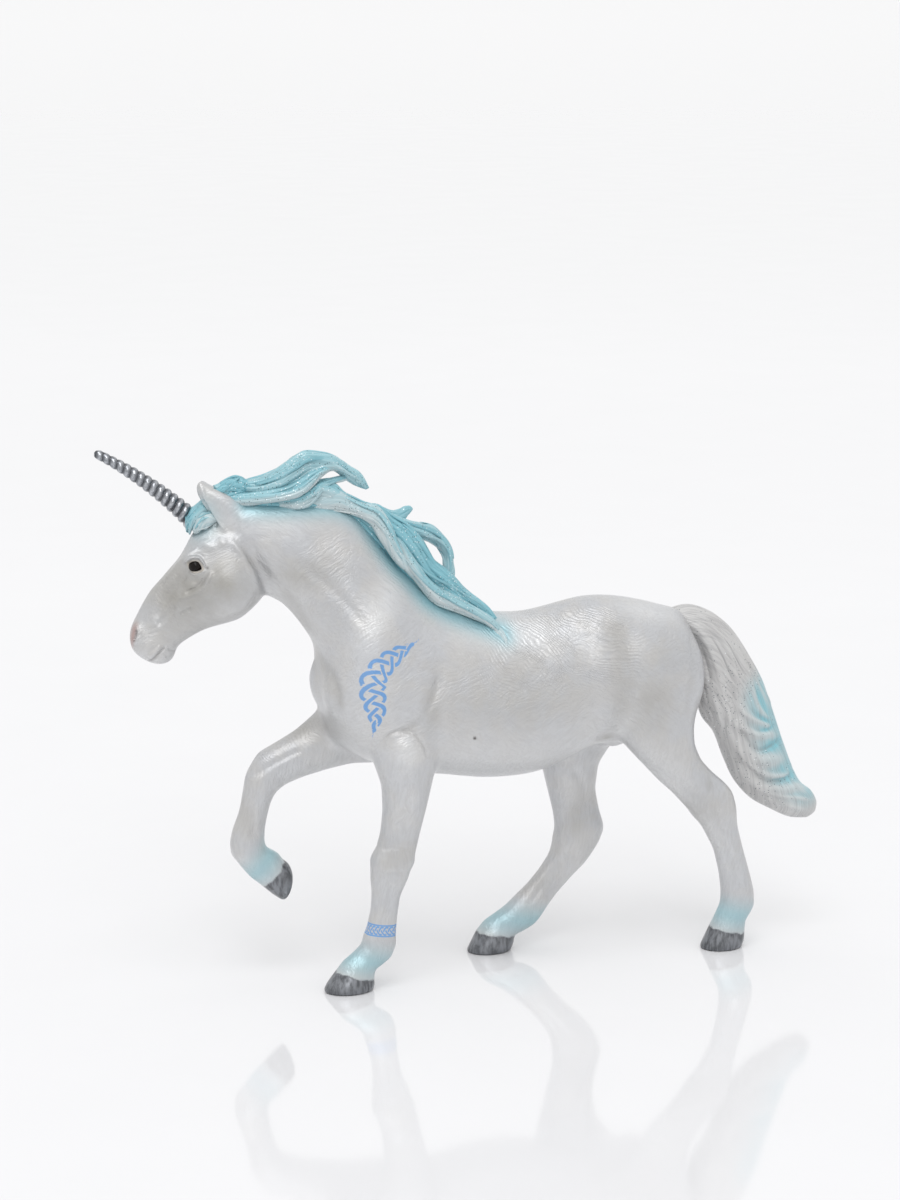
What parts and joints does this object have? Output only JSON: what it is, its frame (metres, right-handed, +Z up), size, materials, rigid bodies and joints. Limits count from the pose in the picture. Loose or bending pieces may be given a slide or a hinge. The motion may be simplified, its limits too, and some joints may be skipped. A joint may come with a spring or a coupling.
{
  "type": "toy unicorn figure",
  "caption": "Walking unicorn toy figure with a raised foreleg, a ridged horn, a flowing mane and a long tail.",
  "frame": {"origin": "middle of the figure's box, on the ground under the hooves", "axes": "+X towards the tail, so the head points to -X; +Y towards the figure's right side; +Z up"},
  "size_m": [0.1614, 0.0291, 0.116],
  "materials": {
    "body_white": "pearl white paint with grey shading, satin",
    "mane_cyan": "light blue paint with glitter under clear lacquer",
    "tail_grey": "pearl grey paint with light blue grooves and glitter under clear lacquer",
    "horn_steel": "dark metallic paint"
  },
  "bodies": {
    "root": {"torso": "body_white", "head_and_neck": "body_white", "left_foreleg": "body_white", "right_foreleg": "body_white", "left_hindleg": "body_white", "right_hindleg": "body_white", "mane_upper": "mane_cyan", "mane_lower": "mane_cyan", "forelock": "mane_cyan", "tail": "tail_grey", "horn": "horn_steel"}
  },
  "joints": []
}
